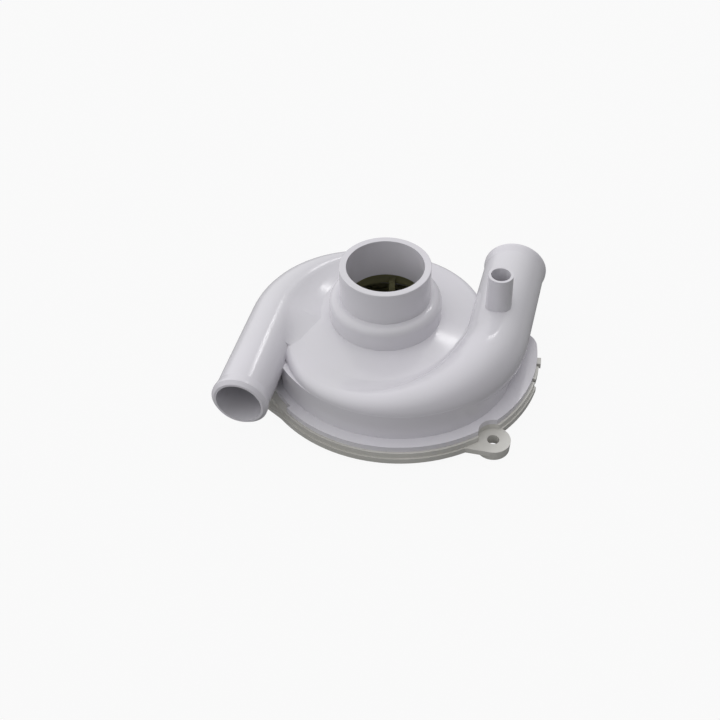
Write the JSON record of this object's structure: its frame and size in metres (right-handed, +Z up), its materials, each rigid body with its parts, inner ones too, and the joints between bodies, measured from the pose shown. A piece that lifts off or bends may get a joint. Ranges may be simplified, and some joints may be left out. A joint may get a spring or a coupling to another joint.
{
  "type": "volute pump casing",
  "caption": "Moulded double-volute pump casing with an upright inlet spigot, two opposed outlets, a side port and a bolted rear cover.",
  "frame": {"origin": "on the inlet and shaft axis, in the plane of the rear hub's outer face, which the part stands on", "axes": "+Z up the inlet axis, out of the inlet; +Y along the larger outlet, out of its mouth; +X from the inlet axis to the larger outlet"},
  "size_m": [0.2058, 0.1763, 0.0835],
  "materials": {
    "casing": "gloss",
    "cover": "gloss",
    "seal": "matte"
  },
  "bodies": {
    "root": {"volute_casing": "casing", "rear_cover": "cover", "seal_ring": "seal"}
  },
  "joints": []
}
